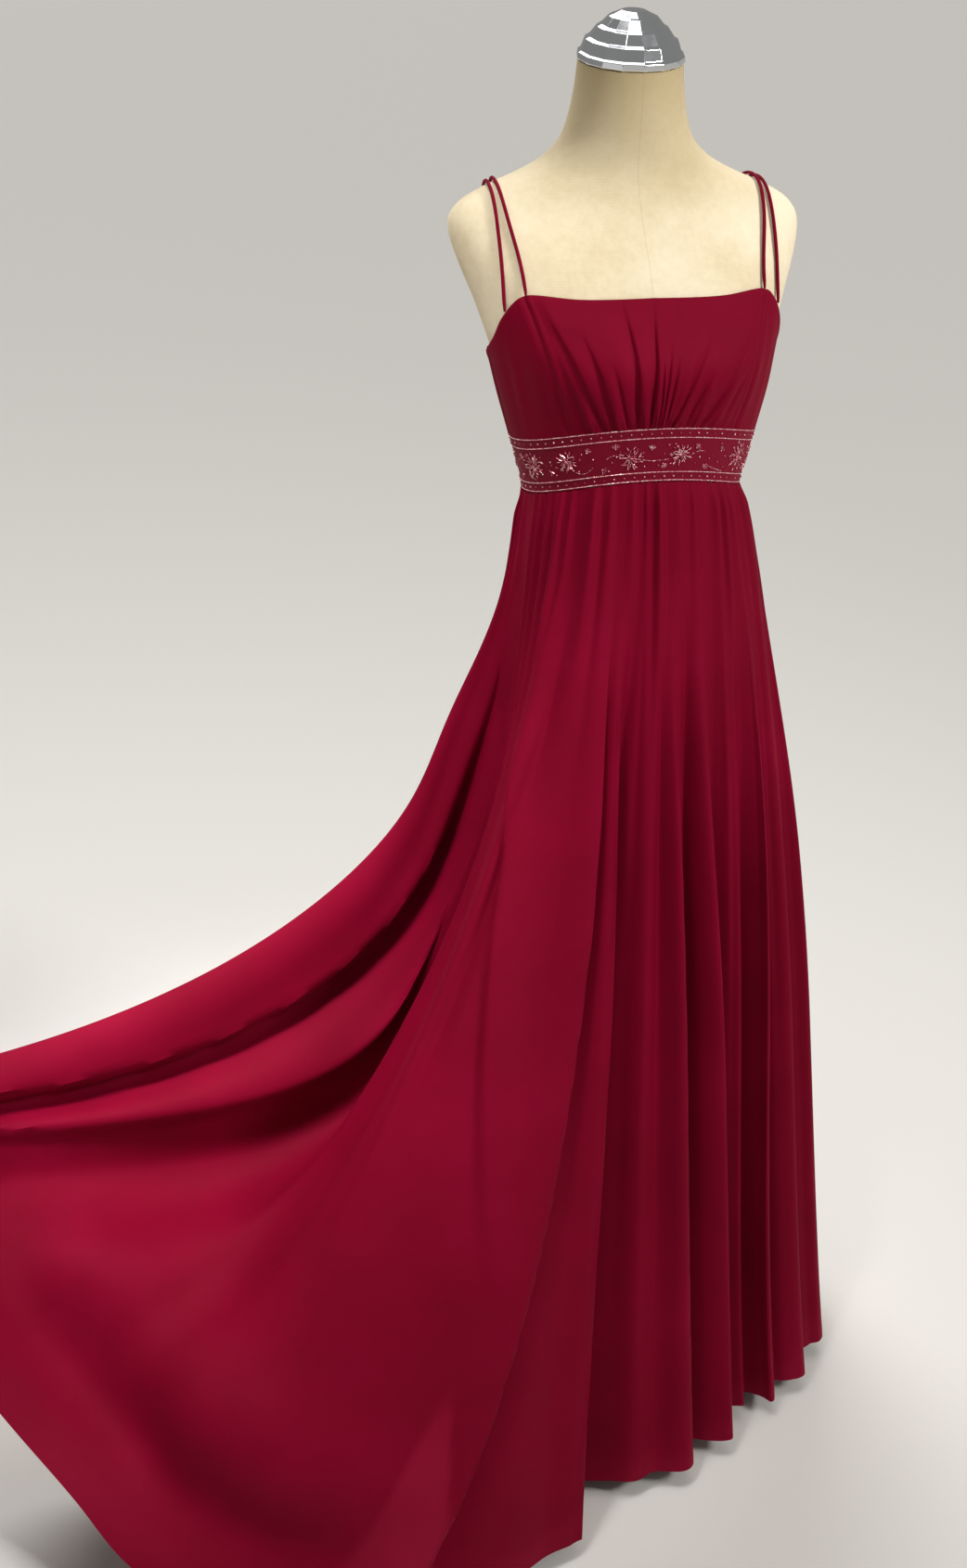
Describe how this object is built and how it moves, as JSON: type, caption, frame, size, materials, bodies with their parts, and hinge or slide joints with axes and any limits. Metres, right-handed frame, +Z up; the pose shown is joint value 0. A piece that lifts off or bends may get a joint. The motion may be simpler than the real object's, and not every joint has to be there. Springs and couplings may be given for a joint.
{
  "type": "evening gown on a dress form",
  "caption": "Long empire-line chiffon evening gown with thin paired straps and a beaded waistband, its skirt swept out to one side, on a limbless dress form with stand.",
  "frame": {"origin": "centre of the base plate's flat underside, on the floor", "axes": "+Z up; the gown's front faces -Y; the gown's own right side, where the skirt is swept out, is -X"},
  "size_m": [1.2005, 0.7529, 1.6288],
  "materials": {
    "chiffon": "matt crimson polyester chiffon over a matching lining",
    "waistband": "matt crimson cloth with pale pink and silver beads",
    "strap": "crimson rouleau of the gown's cloth",
    "form_cloth": "fine cream knit stretched over the form",
    "chrome": "polished chrome plate",
    "steel": "satin steel"
  },
  "bodies": {
    "root": {"bodice_center_front": "chiffon", "bodice_side_front_left": "chiffon", "bodice_side_front_right": "chiffon", "bodice_back_left": "chiffon", "bodice_back_right": "chiffon", "waistband_front": "waistband", "waistband_back_left": "waistband", "waistband_back_right": "waistband", "skirt_front": "chiffon", "skirt_back_left": "chiffon", "skirt_back_right": "chiffon", "strap_right_inner": "strap", "strap_right_outer": "strap", "strap_left_inner": "strap", "strap_left_outer": "strap", "form_torso": "form_cloth", "form_neck_cap": "chrome", "form_hub": "steel", "form_pole": "steel", "form_base": "chrome"}
  },
  "joints": []
}
